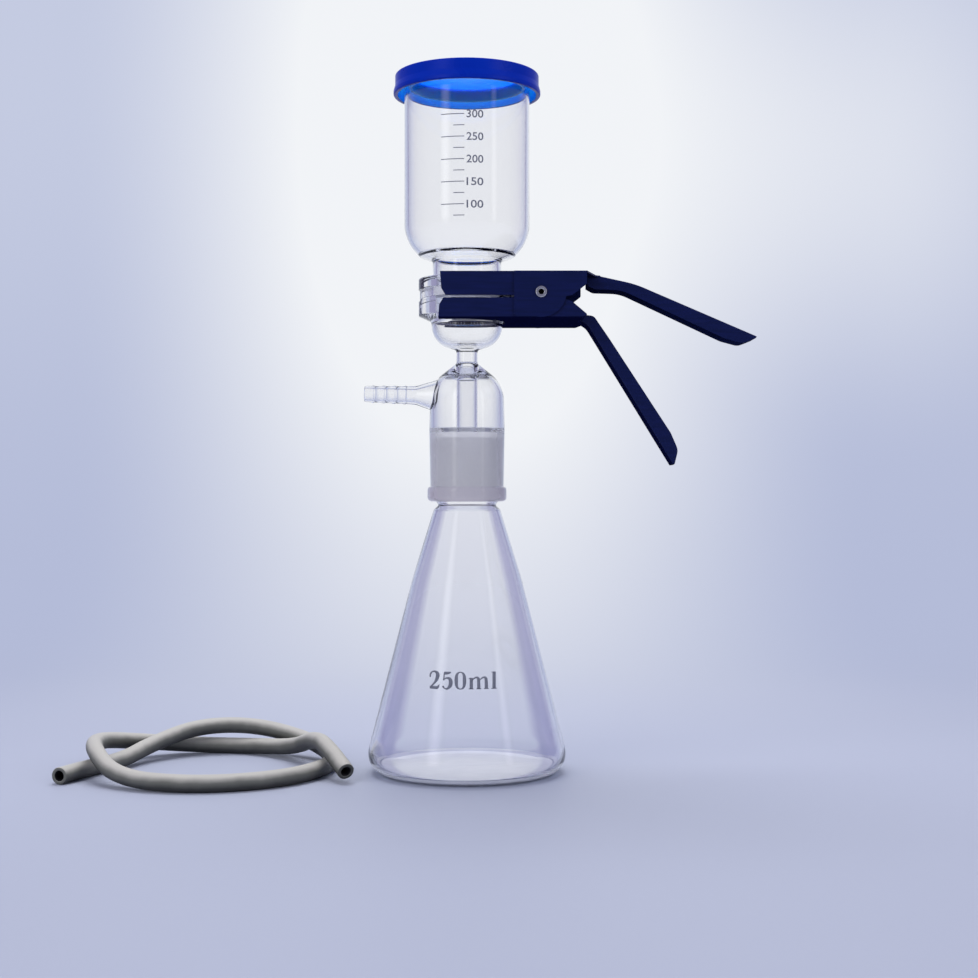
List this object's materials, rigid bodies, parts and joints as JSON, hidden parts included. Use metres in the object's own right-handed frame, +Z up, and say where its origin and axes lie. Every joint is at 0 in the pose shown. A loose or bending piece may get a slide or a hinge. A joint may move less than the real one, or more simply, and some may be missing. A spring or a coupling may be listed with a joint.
{
  "type": "vacuum filtration unit",
  "caption": "Glass vacuum filtration unit: graduated funnel cup with push-on lid, filter head with hose nozzle, spring clamp, conical receiving flask and loose rubber vacuum hose.",
  "frame": {"origin": "centre of the flask's flat foot, on the surface that it stands on", "axes": "+Z up along the unit's axis; the clamp's handles point to +X and the hose nozzle to -X; -Y faces the user"},
  "size_m": [0.41, 0.1442, 0.4168],
  "materials": {
    "clear_glass": "clear, ground matt at the conical joint and at the flange faces",
    "sintered_glass": "white, porous",
    "blue_plastic": "glossy",
    "anodised_sheet": "dark blue anodised, satin",
    "bright_steel": "bright",
    "grey_rubber": "matt"
  },
  "bodies": {
    "receiver": {"receiving_flask": "clear_glass", "vacuum_hose": "grey_rubber"},
    "head": {"filter_head": "clear_glass", "sintered_disc": "sintered_glass", "funnel_cup": "clear_glass"},
    "lid": {"push_on_lid": "blue_plastic"},
    "clamp_lower": {"clamp_lower_half": "anodised_sheet", "clamp_rivet": "bright_steel", "clamp_spring": "bright_steel"},
    "clamp_upper": {"clamp_upper_half": "anodised_sheet"}
  },
  "joints": [
    {"name": "head_turn", "type": "hinge", "parent": "receiver", "child": "head", "pos_m": [0, 0, 0.18], "axis": [0, 0, 1], "continuous": true},
    {"name": "lid_lift", "type": "slide", "parent": "head", "child": "lid", "axis": [0, 0, 1], "range_m": [0, 0.05]},
    {"name": "clamp_turn", "type": "hinge", "parent": "head", "child": "clamp_lower", "pos_m": [0, 0, 0.2838], "axis": [0, 0, 1], "continuous": true},
    {"name": "clamp_open", "type": "hinge", "parent": "clamp_lower", "child": "clamp_upper", "pos_m": [0.0435, 0, 0.2838], "axis": [0, 1, 0], "range_deg": [0, 10.5], "stiffness_Nm_per_rad": 2, "springref_deg": -28.65, "deforming": ["clamp_spring"]}
  ]
}
